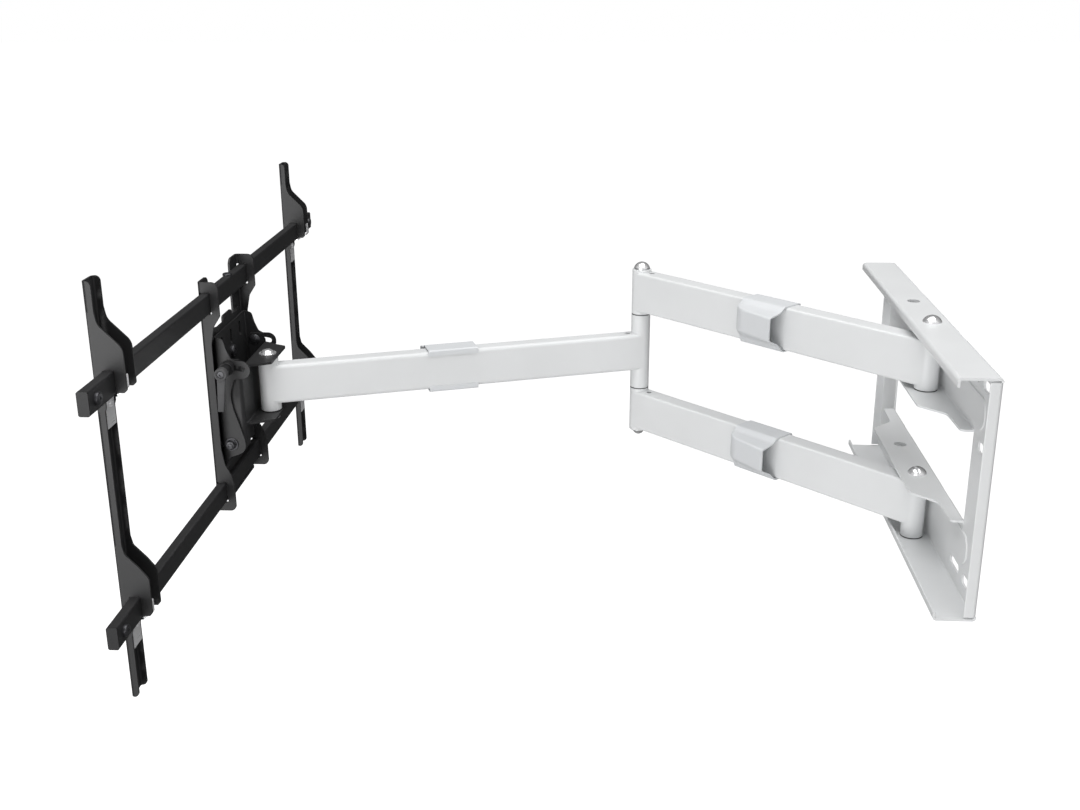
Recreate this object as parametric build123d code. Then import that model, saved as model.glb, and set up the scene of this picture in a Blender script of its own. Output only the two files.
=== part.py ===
from build123d import *
import math
import os

os.makedirs("parts", exist_ok=True)

# Long-reach TV wall arm, in millimetres. The origin is the wall plate's centre on the wall,
# X runs along the wall, +Y into the wall and +Z up. The arm reaches out toward -Y.

# Driving sizes.
RUN = 0.05            # radial clearance of a shaft that turns in its hole
FIT = 0.03            # radial clearance of a piece fixed in a hole
SLIDE = 0.3           # gap beside a rail inside a window or a hook
FACE_T = 1.0          # thickness of a bush flange

PLATE_W = 492.0       # wall plate width
PLATE_H = 255.0       # wall plate height
PLATE_T = 2.5         # wall plate sheet
PLATE_D = 43.0        # depth of the top and bottom flanges
LIP = 9.6             # height of the front lips
SIDE_D = 12.5         # depth of the side flanges
WINDOW_W = 352.0      # window in the wall plate
WINDOW_H = 97.0
SLOT_X = 160.0        # long wall screw slots
SLOT_Z = 105.0
SLOT_L = 34.0
BEND = 4.0            # outer bend radius of the sheet

PIVOT_X = 45.5        # wall pivot
PIVOT_Y = -21.2
BOLT_R = 6.0          # all upright pivot bolts
COLLAR_R = 7.25       # shoulder of the wall bolts in the plate's holes
DOME_R = 10.4         # domed bolt heads
DOME_H = 7.6

REAR_L = 436.0        # rear arm, pivot to elbow
REAR_A = -135.2       # its direction in degrees
REAR_Z = 82.6         # height of its centre line
FRONT_L = 494.5       # front arm, elbow to head
FRONT_A = -70.4
ARM_H = 49.0          # box tube
ARM_W = 25.2
ARM_T = 2.0
ARM_R = 5.0
CLIP_L = 70.0         # cable clips
SLEEVE_BORE = 8.1
ELBOW_Z = 112.3       # outer end of the elbow sleeves
MID_Z = 51.9          # face between rear and front sleeves
HEAD_Z = 35.2         # inner faces of the yoke flanges

YOKE_T = 3.0          # yoke sheet
YOKE_FRONT = 16.9     # yoke web face behind the head axis
YOKE_H = 60.2         # half width over the yoke cheeks
WASHER_T = 1.5        # friction washers
TILT_T = 2.5          # tilt bracket sheet
TILT_WEB = 44.2       # tilt web face behind the head axis
TILT_Y = 34.7         # tilt pivot behind the head axis
TILT_Z = -58.6
TILT_BOLT_R = 4.0
SLOT_R = 98.15        # tilt slot radius round the tilt pivot
STUD_R = 3.25
STUD_A = 1.75         # stud angle from upright, degrees
TILT_TOP = 77.2       # upper and lower ends of the tilt bracket
TILT_LOW = -93.0
TILT_DOWN = 3.0       # travel of the tilt, degrees
TILT_UP = 10.0

RAIL_D = 11.0         # rail section
RAIL_H = 24.0
RAIL_L = 878.6
RAIL_T = 1.5
RAIL_UP = 121.5       # rail centre heights
RAIL_DOWN = -116.5
RAIL_BACK = 52.6      # TV side of the rails behind the head axis
CAP_T = 2.0           # plastic end caps
FRAME_T = 2.5         # centre brackets and levelling plate
CENTRE_H = 78.7       # half width over the centre brackets
CENTRE_IN = 44.6      # inner edge of their webs
FRAME_HOLE_X = 52.0   # frame screws beside the head
FRAME_HOLE_UP = 68.0
FRAME_HOLE_DOWN = -64.0
LEVEL_Z = 42.0        # levelling bolt

CHANNEL_W = 26.0      # screen bracket channel
CHANNEL_H = 439.4
CHANNEL_T = 2.2
CHANNEL_D = 8.7       # flange depth
CHANNEL_X = 365.0     # distance from the head to the channel's middle
SCREEN_FACE = 63.0    # TV face behind the head axis
HOLE_Z = 200.0        # TV fixing holes
STOP_IN = 16.1        # stop screws, in from the rail's ends
STOP_HEAD_R = 6.3

# Places that follow from the sizes.
HALF_W = PLATE_W / 2
HALF_H = PLATE_H / 2
UNDER = HALF_H - PLATE_T
TAB = WINDOW_H / 2 + PLATE_T
SLEEVE_R = ARM_W / 2
REAR_CLIP = REAR_L * 0.506
FRONT_CLIP = FRONT_L * 0.477
ELBOW_X = PIVOT_X + REAR_L * math.cos(math.radians(REAR_A))
ELBOW_Y = PIVOT_Y + REAR_L * math.sin(math.radians(REAR_A))
HEAD_X = ELBOW_X + FRONT_L * math.cos(math.radians(FRONT_A))
HEAD_Y = ELBOW_Y + FRONT_L * math.sin(math.radians(FRONT_A))
TILT_IN = YOKE_H + WASHER_T
TILT_OUT = TILT_IN + TILT_T
PIN_Y = HEAD_Y - TILT_Y
STUD_Y = PIN_Y + SLOT_R * math.sin(math.radians(STUD_A))
STUD_Z = TILT_Z + SLOT_R * math.cos(math.radians(STUD_A))
RAIL_Y = HEAD_Y - RAIL_BACK
WEB_Y = HEAD_Y - TILT_WEB
SCREEN_Y = HEAD_Y - SCREEN_FACE
STOP_X = RAIL_L / 2 - STOP_IN


def box(x0, x1, y0, y1, z0, z1):
    middle = Pos((x0 + x1) / 2, (y0 + y1) / 2, (z0 + z1) / 2)
    return middle * Box(abs(x1 - x0), abs(y1 - y0), abs(z1 - z0))


def outline(corners):
    # Closed outline through corners (a, b) or (a, b, radius), round corners as arcs.
    count = len(corners)
    points = [Vector(c[0], c[1]) for c in corners]
    ends = []
    for i, corner in enumerate(corners):
        radius = corner[2] if len(corner) > 2 else 0
        here = points[i]
        if radius == 0:
            ends.append((here, None, here))
            continue
        back = (points[i - 1] - here).normalized()
        ahead = (points[(i + 1) % count] - here).normalized()
        half = math.radians(back.get_angle(ahead)) / 2
        reach = radius / math.tan(half)
        middle = here + (back + ahead).normalized() * (radius / math.sin(half) - radius)
        ends.append((here + back * reach, middle, here + ahead * reach))
    edges = []
    for i, (start, middle, end) in enumerate(ends):
        if middle is not None:
            edges.append(Edge.make_three_point_arc(start, middle, end))
        after = ends[(i + 1) % count][0]
        if (after - end).length > 1e-6:
            edges.append(Edge.make_line(end, after))
    return Wire(edges)


def raised(axis, flat, low, high):
    # Flat outline made solid from low to high along axis x, y or z.
    plane = {"x": Plane.YZ, "y": Plane.XZ, "z": Plane.XY}[axis]
    along = {"x": Vector(1, 0, 0), "y": Vector(0, 1, 0), "z": Vector(0, 0, 1)}[axis]
    return Pos(*(along * low)) * extrude(plane * flat, amount=high - low, dir=along)


def slab(axis, corners, low, high):
    # Plate with the given outline.
    return raised(axis, Face(outline(corners)), low, high)


def rod(axis, centre, radius, low, high):
    # Cylinder along x, y or z. Centre holds the two other coordinates.
    if axis == "x":
        plane = Plane(origin=(low, centre[0], centre[1]), z_dir=(1, 0, 0))
    elif axis == "y":
        plane = Plane(origin=(centre[0], low, centre[1]), z_dir=(0, 1, 0))
    else:
        plane = Plane(origin=(centre[0], centre[1], low), z_dir=(0, 0, 1))
    return plane * Cylinder(radius, high - low, align=(Align.CENTER, Align.CENTER, Align.MIN))


def ring(axis, centre, outer, inner, low, high):
    return rod(axis, centre, outer, low, high) - rod(axis, centre, inner, low - 1, high + 1)


def hexagon(axis, centre, across, low, high):
    # Six-sided head or nut, across its flats.
    reach = across / math.sqrt(3)
    turns = [math.radians(60 * k + 30) for k in range(6)]
    corners = [(centre[0] + reach * math.cos(t), centre[1] + reach * math.sin(t)) for t in turns]
    return slab(axis, corners, low, high)


def dome(centre, radius, seat, height, up):
    # Domed head standing on a seat at height z, pointing up or down.
    rim = 1.2
    ball = ((height - rim) ** 2 + radius ** 2) / (2 * (height - rim))
    top = seat + up * height
    shape = Pos(centre[0], centre[1], top - up * ball) * Sphere(ball)
    low, high = sorted((seat, top + up))
    return shape & rod("z", centre, radius, low, high)


def slot(axis, a, b, length, width, low, high, upright=False):
    # Round-ended opening centred on (a, b), long in the first direction unless upright.
    r, reach = width / 2, (length - width) / 2
    edges = [
        Edge.make_line((-reach, -r), (reach, -r)),
        Edge.make_three_point_arc((reach, -r), (reach + r, 0), (reach, r)),
        Edge.make_line((reach, r), (-reach, r)),
        Edge.make_three_point_arc((-reach, r), (-reach - r, 0), (-reach, -r)),
    ]
    turned = Pos(a, b, 0) * Rot(0, 0, 90 if upright else 0) * Face(Wire(edges))
    return raised(axis, turned, low, high)


def mirrored(shape, x=0.0):
    return mirror(shape, about=Plane(origin=(x, 0, 0), z_dir=(1, 0, 0)))


def flipped(shape):
    return mirror(shape, about=Plane.XY)


def save(name, *shapes):
    solids = [solid for shape in shapes for solid in shape.solids()]
    export_step(Compound(children=solids), "parts/" + name + ".step")


# Wall plate, one folded sheet.

def plate_channel():
    # Back wall, top and bottom flanges and their lips.
    t, d, h = PLATE_T, PLATE_D, HALF_H
    half = [
        (0, h, BEND), (-d, h, BEND), (-d, h - LIP, 0.8), (t - d, h - LIP, 0.8),
        (t - d, h - t, BEND - t), (-t, h - t, BEND - t),
    ]
    lower = [(c[0], -c[1], *c[2:]) for c in reversed(half)]
    return slab("x", half + lower, -HALF_W, HALF_W)


def plate_tab():
    # Upper tab bent out of the window, with its shaped front edge.
    t, low = PLATE_T, WINDOW_H / 2
    bent = [
        (0, low, BEND), (-60, low), (-60, low + t), (-t, low + t, BEND - t),
        (-t, low + 8), (0, low + 8),
    ]
    end = WINDOW_W / 2
    plan = [(0, -42), (end - 75, -42, 14), (end - 50, -17, 14), (end, -15.5, 5), (end, 1), (0, 1)]
    half = slab("x", bent, 0, end) & slab("z", plan, low - 1, low + 9)
    return half + mirrored(half)


def plate_pads():
    # Shallow pressed pads beside the window, near side.
    upper = [(131, 58, 10), (209, 58, 16), (209, 92, 16), (131, 92, 10)]
    lower = [(113, -92, 12), (200, -92, 16), (200, -58, 16), (113, -58, 12)]
    front = [slab("y", pad, -PLATE_T - 1.2, -PLATE_T) for pad in (upper, lower)]
    front = [chamfer(pad.edges().group_by(Axis.Y)[0], 0.9) for pad in front]
    hollow = [slab("y", pad, -1.2, 0.5) for pad in (upper, lower)]
    return front, hollow


def plate_slots():
    # Wall screw slots on the near side.
    cuts = []
    for side in (-1, 1):
        cuts.append(slot("y", SLOT_X, SLOT_Z * side, SLOT_L, 9.5, -5, 1))
        cuts.append(slot("y", SLOT_X + 43.5, SLOT_Z * side, 25, 11, -5, 1))
    return cuts


def wall_plate():
    t, w, h = PLATE_T, HALF_W, HALF_H
    side_z = h - 4.5
    body = plate_channel()
    body -= box(-WINDOW_W / 2, WINDOW_W / 2, -5, 1, -WINDOW_H / 2, WINDOW_H / 2)
    edge = [(w, 0, BEND), (w, -SIDE_D, 1), (w - t, -SIDE_D, 1), (w - t, -t, BEND - t), (w - 9, -t), (w - 9, 0)]
    for mirror_x in (False, True):
        strip = box(w - 8, w + 1, -t - 0.5, 1, -side_z, side_z)
        fold = slab("z", edge, -side_z, side_z)
        body -= mirrored(strip) if mirror_x else strip
        body += mirrored(fold) if mirror_x else fold
    tab = plate_tab()
    gap = box(-WINDOW_W / 2, WINDOW_W / 2, -5, 1, WINDOW_H / 2, WINDOW_H / 2 + 8)
    body = body - gap - flipped(gap) + tab + flipped(tab)
    front, hollow = plate_pads()
    for pad in front:
        body = body + pad + mirrored(pad)
    cuts = hollow + plate_slots()
    for cut in list(cuts):
        cuts.append(mirrored(cut))
    cuts.append(slot("y", 204.5, 42, 20, 11, -5, 1))
    for x in (-PIVOT_X, PIVOT_X):
        for z0, z1 in ((UNDER - 1, h + 1), (WINDOW_H / 2 - 1, TAB + 1)):
            cuts.append(rod("z", (x, PIVOT_Y), COLLAR_R + RUN, z0, z1))
            cuts.append(rod("z", (x, PIVOT_Y), COLLAR_R + RUN, -z1, -z0))
    for x in (-99, 99):
        # Relief notches at the ends of the bends.
        for z in (-h, h, -WINDOW_H / 2, WINDOW_H / 2):
            cuts.append(slot("y", x, z, 32, 5, -2.6, 1))
    for cut in cuts:
        body -= cut
    return body


# Bolts of the wall pivot.

def wall_bolt(seat, far):
    # Domed head on the seat, shoulder in the plate, shank down to the nut.
    centre = (PIVOT_X, PIVOT_Y)
    bolt = dome(centre, DOME_R, seat, DOME_H, 1)
    bolt += rod("z", centre, COLLAR_R, seat - PLATE_T, seat + 0.5)
    return bolt + rod("z", centre, BOLT_R, far, seat)


def wall_nut(seat, depth):
    # Nut under the sheet, with a collar up into the sheet's hole.
    centre = (PIVOT_X, PIVOT_Y)
    nut = hexagon("z", centre, 18.5, seat - depth, seat)
    nut += rod("z", centre, COLLAR_R, seat - 1, seat + PLATE_T)
    return nut - rod("z", centre, BOLT_R + FIT, seat - depth - 1, seat + PLATE_T + 1)


def bush(centre, face, inward, depth=12.0):
    # Flanged bush pushed into a sleeve, its flange against the face.
    a, b = sorted((face, face + inward * FACE_T))
    c, d = sorted((face, face + inward * (FACE_T + depth)))
    body = rod("z", centre, SLEEVE_R, a, b) + rod("z", centre, SLEEVE_BORE - FIT, c, d)
    return body - rod("z", centre, BOLT_R + RUN, c - 1, d + 1)


# Arms, each a box tube with a sleeve at both ends.

def box_tube(length, z):
    # Hollow box tube along +X from the origin, its middle at height z.
    w, h, t = ARM_W / 2, ARM_H / 2, ARM_T
    outer = [(-w, z - h, ARM_R), (w, z - h, ARM_R), (w, z + h, ARM_R), (-w, z + h, ARM_R)]
    r = ARM_R - t
    inner = [(t - w, z - h + t, r), (w - t, z - h + t, r), (w - t, z + h - t, r), (t - w, z + h - t, r)]
    return slab("x", outer, 0, length) - slab("x", inner, -1, length + 1)


def arm(start, angle, length, z, first, second, drain):
    # First and second are (low, high, bore) of the sleeves at the two ends.
    body = box_tube(length, z)
    for x, (low, high, bore) in ((0, first), (length, second)):
        body += rod("z", (x, 0), SLEEVE_R, low, high)
    for x, (low, high, bore) in ((0, first), (length, second)):
        body -= rod("z", (x, 0), bore, low - 1, high + 1)
    for x in drain:
        body -= rod("z", (x, 0), 2.2, z - ARM_H, z + ARM_H)
    return Pos(start[0], start[1], 0) * Rot(0, 0, angle) * body


def rear_arm():
    wall_end = (TAB + FACE_T, UNDER - FACE_T, SLEEVE_BORE)
    elbow_end = (MID_Z, ELBOW_Z, BOLT_R + FIT)
    near_ends = (17, REAR_L - 17)
    return arm((PIVOT_X, PIVOT_Y), REAR_A, REAR_L, REAR_Z, wall_end, elbow_end, near_ends)


def front_arm():
    elbow_end = (FACE_T - MID_Z, MID_Z - FACE_T, SLEEVE_BORE)
    head_end = (FACE_T - HEAD_Z, HEAD_Z - FACE_T, SLEEVE_BORE)
    return arm((ELBOW_X, ELBOW_Y), FRONT_A, FRONT_L, 0, elbow_end, head_end, (17, FRONT_L - 17))


def clip_strip(middle, length):
    # Cable clip round the tube at height zero, its cable side toward +Y.
    w, h, t = ARM_W / 2, ARM_H / 2, 2.4
    outer = [
        (-w - t, h + t, 3), (16.5, h + t, 2), (20, h - 1.5, 2), (43.6, h - 4.5, 5),
        (43.6, -9, 4), (15.5, -h - t, 3), (-w - t, -h - t, 3), (-w - t, 6 - h, 1),
        (-w, 6 - h, 1), (-w, -h, 2), (14.6, -h, 1),
        (43.6 - t, -10, 2), (43.6 - t, h - 6.5, 3), (19, h - 4.2, 1),
        (15, h, 1), (-w, h, 2), (-w, h - 6, 1), (-w - t, h - 6, 1),
    ]
    return slab("x", outer, middle - length / 2, middle + length / 2)


def rear_clip(z):
    place = Pos(PIVOT_X, PIVOT_Y, z) * Rot(0, 0, REAR_A)
    return place * clip_strip(REAR_CLIP, CLIP_L)


def front_clip():
    place = Pos(HEAD_X, HEAD_Y, 0) * Rot(0, 0, FRONT_A + 180)
    return place * clip_strip(FRONT_CLIP, CLIP_L - 4)


# Elbow fittings.

def elbow_washer(up):
    a, b = sorted((up * ELBOW_Z, up * (ELBOW_Z + 1.5)))
    return ring("z", (ELBOW_X, ELBOW_Y), 10.6, BOLT_R + FIT, a, b)


def cap_nut(centre, seat, height, radius, up):
    # Domed cap nut, blind inside for the end of the bolt.
    a, b = sorted((seat - up, seat + up * height * 0.55))
    return dome(centre, radius, seat, height, up) - rod("z", centre, BOLT_R + FIT, a, b)


# Yoke, one pressed piece round the head sleeve.

def yoke():
    t, r = YOKE_T, 5.0
    front = HEAD_Y - YOKE_FRONT
    back = PIN_Y - 9.0
    low, high = TILT_Z - 9.0, 48.0
    w = YOKE_H
    plan = [
        (w, back - 1), (w, front, r), (-w, front, r), (-w, back - 1),
        (t - w, back - 1), (t - w, front - t, r - t), (w - t, front - t, r - t), (w - t, back - 1),
    ]
    side = [(front, low, 6), (back, low, 9), (PIN_Y - 3.4, high, 2), (front, high, 3)]
    body = Pos(HEAD_X, 0, 0) * slab("z", plan, low, high) & slab("x", side, HEAD_X - w, HEAD_X + w)
    flange_z = HEAD_Z + t
    # The sheet of the lower flange leaves an opening in the web below it.
    body -= slab("y", [(HEAD_X - 43, low - 1), (HEAD_X + 43, low - 1), (HEAD_X + 43, -flange_z + 1, 6),
                       (HEAD_X - 43, -flange_z + 1, 6)], front - t - 1, front + 1)
    body -= box(HEAD_X - w + t, HEAD_X + w - t, front - t - 1, front + 1, flange_z - r, high + 1)
    body -= box(HEAD_X - w - 1, HEAD_X + w + 1, front - 2, front + 1, flange_z + 3, high + 1)
    bent = [
        (HEAD_Y + 13.8, flange_z), (front - t, flange_z, r), (front - t, -flange_z, r), (HEAD_Y + 13.8, -flange_z),
        (HEAD_Y + 13.8, t - flange_z), (front, t - flange_z, r - t), (front, flange_z - t, r - t),
        (HEAD_Y + 13.8, flange_z - t),
    ]
    spread = [
        (HEAD_X - 57.2, front - t), (HEAD_X + 57.2, front - t), (HEAD_X + 57.2, front - 0.5),
        (HEAD_X + 50, front + 2), (HEAD_X + 35, HEAD_Y + 13.8, 3), (HEAD_X - 35, HEAD_Y + 13.8, 3),
        (HEAD_X - 50, front + 2), (HEAD_X - 57.2, front - 0.5),
    ]
    body += slab("x", bent, HEAD_X - w + t, HEAD_X + w - t) & slab("z", spread, -flange_z, flange_z)
    body -= rod("z", (HEAD_X, HEAD_Y), BOLT_R + RUN, -50, 50)
    body -= rod("x", (PIN_Y, TILT_Z), TILT_BOLT_R + RUN, HEAD_X - 80, HEAD_X + 80)
    body -= rod("x", (STUD_Y, STUD_Z), STUD_R + RUN, HEAD_X - 80, HEAD_X + 80)
    return body


def head_bolt():
    centre = (HEAD_X, HEAD_Y)
    seat = HEAD_Z + YOKE_T
    shank = rod("z", centre, BOLT_R, -seat - 7.5, seat + 1)
    brim = rod("z", centre, DOME_R + 0.4, seat, seat + 1.3)
    return dome(centre, DOME_R - 1.8, seat, DOME_H - 1.5, 1) + brim + shank


def head_nut():
    centre = (HEAD_X, HEAD_Y)
    seat = -HEAD_Z - YOKE_T
    return hexagon("z", centre, 18.5, seat - 8, seat) - rod("z", centre, BOLT_R + FIT, seat - 9, seat + 1)


# Tilt joint. Every piece is made for the near side and mirrored about the head.

def both(shape):
    return shape, mirrored(shape, HEAD_X)


def tilt_pivot_bolt():
    at = (PIN_Y, TILT_Z)
    inside = HEAD_X + YOKE_H - YOKE_T
    head = hexagon("x", at, 13, inside - 5.3, inside)
    return head + rod("x", at, TILT_BOLT_R, inside - 1, HEAD_X + TILT_OUT + 8.5)


def tilt_pivot_nut():
    at = (PIN_Y, TILT_Z)
    face = HEAD_X + TILT_OUT
    nut = rod("x", at, 8.4, face, face + 1.6) + hexagon("x", at, 13, face + 1.6, face + 7.5)
    return nut - rod("x", at, TILT_BOLT_R + FIT, face - 1, face + 9)


def friction_washer(at, outer, hole):
    return ring("x", at, outer, hole, HEAD_X + YOKE_H, HEAD_X + TILT_IN)


def clamp_bolt(end):
    # Round headed bolt from inside the yoke cheek, through the tilt slot.
    at = (STUD_Y, STUD_Z)
    inside = HEAD_X + YOKE_H - YOKE_T
    ball = Pos(inside + 7.7, *at) * Sphere(10.4) & rod("x", at, 7.0, inside - 4, inside)
    return ball + rod("x", at, STUD_R, inside - 1, HEAD_X + end)


def clamp_boss():
    at = (STUD_Y, STUD_Z)
    a, b = HEAD_X + TILT_OUT, HEAD_X + CENTRE_H + 7.5
    boss = rod("x", at, 8.4, a, a + 9) + rod("x", at, 6.2, a + 9, b)
    return boss - rod("x", at, STUD_R + FIT, a - 1, b + 1)


def clamp_lever():
    # Flat hanging lever with a round head on the end of the clamp bolt.
    a = HEAD_X + CENTRE_H + 7.5
    at = (STUD_Y, STUD_Z)
    y, z = STUD_Y, STUD_Z
    blade = [(y - 5, z), (y + 4.8, z), (y + 0.2, z - 46.5, 0.8), (y - 7, z - 46.5, 0.8)]
    lever = rod("x", at, 7.5, a, a + 9) + slab("x", blade, a + 1.5, a + 7.5)
    lever -= rod("x", at, STUD_R + RUN, a - 1, a + 6)
    lever -= rod("x", at, 4.2, a + 6, a + 10)
    for drop in (9, 25):
        lever -= box(a + 7, a + 8, y - 8, y + 8, z - drop - 0.4, z - drop + 0.4)
    return lever


def lever_screw():
    at = (STUD_Y, STUD_Z)
    a = HEAD_X + CENTRE_H + 7.5
    return rod("x", at, 4.1, a + 6, a + 8) - hexagon("x", at, 3.5, a + 7, a + 9)


def lock_nut():
    at = (STUD_Y, STUD_Z)
    a = HEAD_X - TILT_OUT
    nut = rod("x", at, 8.4, a - 1.6, a) + hexagon("x", at, 10, a - 8, a - 1.6)
    return nut - rod("x", at, STUD_R + FIT, a - 9, a + 1)


# Tilt bracket, one pressed piece with two outer cheeks.

def tilt_slot():
    # Arc slot round the tilt pivot, a stud wide, over the whole travel.
    spare = 0.4
    first = 90 - STUD_A + TILT_DOWN + spare
    last = 90 - STUD_A - TILT_UP - spare
    wide = STUD_R + RUN
    a, b = HEAD_X - 80, HEAD_X + 80

    def at(angle, radius):
        turn = math.radians(angle)
        return Vector(PIN_Y + radius * math.cos(turn), TILT_Z + radius * math.sin(turn))

    middle = (first + last) / 2
    outer, inner = SLOT_R + wide, SLOT_R - wide
    edges = [
        Edge.make_three_point_arc(at(first, outer), at(middle, outer), at(last, outer)),
        Edge.make_line(at(last, outer), at(last, inner)),
        Edge.make_three_point_arc(at(last, inner), at(middle, inner), at(first, inner)),
        Edge.make_line(at(first, inner), at(first, outer)),
    ]
    cut = raised("x", Face(Wire(edges)), a, b)
    for angle in (first, last):
        end = at(angle, SLOT_R)
        cut += rod("x", (end.X, end.Y), wide, a, b)
    return cut


def tilt_bracket():
    t, w, r = TILT_T, TILT_OUT, 4.0
    face = WEB_Y
    back = face - t
    plan = [
        (w, face + 60), (w, back, r), (-w, back, r), (-w, face + 60),
        (t - w, face + 60), (t - w, face, r - t), (w - t, face, r - t), (w - t, face + 60),
    ]
    # Cheek profile in Y from the web's back and Z.
    side = [
        (back, TILT_TOP, 1), (back + 11.5, TILT_TOP - 3.4, 5), (back + 14.6, 61.2), (back + 19, 50.4, 5),
        (back + 24.5, 47.3, 2), (back + 41.2, 47.1, 10.2), (back + 41.2, 26.3, 10.2),
        (back + 21.5, 24.2, 3), (back + 15, 5, 30), (back + 17.5, -14, 40),
        (back + 28.2, -51, 8), (back + 30.5, -68, 13), (back + 18, -72.8, 10), (back + 9, -76, 8),
        (back + 3, TILT_LOW + 6, 3), (back + 3, TILT_LOW), (back, TILT_LOW),
    ]
    body = Pos(HEAD_X, 0, 0) * slab("z", plan, TILT_LOW - 1, TILT_TOP + 1)
    body &= slab("x", side, HEAD_X - w, HEAD_X + w)
    body -= tilt_slot()
    body -= rod("x", (PIN_Y, TILT_Z), TILT_BOLT_R + RUN, HEAD_X - 80, HEAD_X + 80)
    for side_x in (-38, 0, 38):
        body -= slot("y", HEAD_X + side_x, TILT_TOP - 17, 19, 7, back - 1, face + 1, True)
    body -= rod("y", (HEAD_X, LEVEL_Z), 4 + FIT, back - 1, face + 1)
    body -= slot("y", HEAD_X, -20, 60, 50, back - 1, face + 1, True)
    return body


def levelling_plate():
    # Hat section: side flats on the centre brackets, raised middle under the tilt bracket.
    t = FRAME_T
    flat = RAIL_Y
    top = WEB_Y - TILT_T
    step = FRAME_HOLE_X - 7
    half = [
        (step + 15, flat), (step + 15, flat + t), (step + 1, flat + t, 1), (step - 4.5, top, 1), (0, top),
        (0, top - t), (step - 6, top - t, 1), (step - 0.5, flat, 1),
    ]
    low, high = RAIL_DOWN + RAIL_H / 2 + 1, TILT_TOP + 5.8
    body = Pos(HEAD_X, 0, 0) * slab("z", half, low, high)
    body += slab("y", [(HEAD_X, high - 1), (HEAD_X + 18, high - 1), (HEAD_X + 18, high + 7.5, 4), (HEAD_X, high + 7.5)],
                 top - t, top)
    body = body + mirrored(body, HEAD_X)
    body -= rod("y", (HEAD_X, LEVEL_Z), 4 + FIT, top - t - 1, top + 1)
    for x in (-FRAME_HOLE_X, FRAME_HOLE_X):
        for z in (FRAME_HOLE_DOWN, FRAME_HOLE_UP):
            body -= rod("y", (HEAD_X + x, z), 3 + FIT, flat - 1, flat + t + 1)
    return body


def frame_screw(x, z):
    # Screw from the TV side through centre bracket and levelling plate, with its nut.
    at = (HEAD_X + x, z)
    back = RAIL_Y - FRAME_T
    front = RAIL_Y + FRAME_T
    screw = rod("y", at, 5.5, back - 2.6, back) + rod("y", at, 3, back - 1, front)
    return screw + hexagon("y", at, 10, front, front + 3)


def levelling_bolt():
    at = (HEAD_X, LEVEL_Z)
    back = WEB_Y - TILT_T - FRAME_T
    bolt = rod("y", at, 7.5, WEB_Y, WEB_Y + 4.5) + rod("y", at, 4, back, WEB_Y + 1)
    return bolt + hexagon("y", at, 11, back - 3.2, back)


# Screen frame.

def rail_window(z, margin):
    corner = 2.0
    y0, y1 = RAIL_Y - margin, RAIL_Y + RAIL_D + margin
    z0, z1 = z - RAIL_H / 2 - margin, z + RAIL_H / 2 + margin
    cut = box(HEAD_X + CENTRE_H - 10, HEAD_X + CENTRE_H + 5, y0, y1, z0, z1)
    for y in (y0 + 1, y1 - 1):
        for c in (z0 + 1, z1 - 1):
            cut += rod("x", (y, c), corner, HEAD_X + CENTRE_H - 5, HEAD_X + CENTRE_H + 5)
    return cut


def centre_bracket():
    t = FRAME_T
    back, outer = RAIL_Y - t, HEAD_X + CENTRE_H
    plan = [
        (outer, back, 4), (outer, back + 60), (outer - t, back + 60), (outer - t, back + t, 1.5),
        (HEAD_X + CENTRE_IN, back + t), (HEAD_X + CENTRE_IN, back),
    ]
    edge = back + 23.9
    low, high = RAIL_DOWN - RAIL_H / 2 - 12.5, RAIL_UP + RAIL_H / 2 + 13.5
    side = [
        (back, high), (edge, high, 8), (edge, 106, 5), (edge - 8.6, 93, 8),
        (edge - 12.9, 72.5, 20), (edge - 12.8, -60, 30), (edge - 9.7, -80.6, 10),
        (edge - 3.3, -93.6, 8), (edge, -106, 8), (edge, low, 7), (back, low),
    ]
    web = [(HEAD_X + CENTRE_IN, low, 4), (outer, low), (outer, high), (HEAD_X + CENTRE_IN, high, 9)]
    body = slab("z", plan, low, high) & slab("x", side, HEAD_X + CENTRE_IN, outer)
    body &= slab("y", web, back - 1, edge + 1)
    for z in (RAIL_UP, RAIL_DOWN):
        body -= rail_window(z, SLIDE)
    for z in (FRAME_HOLE_DOWN, FRAME_HOLE_UP):
        body -= rod("y", (HEAD_X + FRAME_HOLE_X, z), 3 + FIT, back - 1, back + t + 1)
    return body


def rail(z):
    w, h, t = RAIL_D / 2, RAIL_H / 2, RAIL_T
    y = RAIL_Y + w
    outer = [(y - w, z - h, 2), (y + w, z - h, 2), (y + w, z + h, 2), (y - w, z + h, 2)]
    inner = [(y - w + t, z - h + t, 0.6), (y + w - t, z - h + t, 0.6), (y + w - t, z + h - t, 0.6),
             (y - w + t, z + h - t, 0.6)]
    x0, x1 = HEAD_X - RAIL_L / 2, HEAD_X + RAIL_L / 2
    body = slab("x", outer, x0, x1) - slab("x", inner, x0 - 1, x1 + 1)
    for x in (-STOP_X, STOP_X):
        body -= rod("y", (HEAD_X + x, z), 2 + FIT, y, y + w + 1)
    return body


def rail_lock_holes(shape):
    for x, r in ((-15, 3), (36, 2)):
        shape -= rod("z", (HEAD_X + x, RAIL_Y + RAIL_D / 2), r + FIT, RAIL_UP, RAIL_UP + 20)
    return shape


def rail_cap(z):
    w, h, t = RAIL_D / 2, RAIL_H / 2, RAIL_T
    y, x = RAIL_Y + w, HEAD_X + RAIL_L / 2
    g = t + 0.25
    plug = box(x - 9, x + 0.5, y - w + g, y + w - g, z - h + g, z + h - g)
    skin = [(y - w, z - h, 2), (y + w, z - h, 2), (y + w, z + h, 2), (y - w, z + h, 2)]
    return slab("x", skin, x, x + CAP_T) + plug


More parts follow.
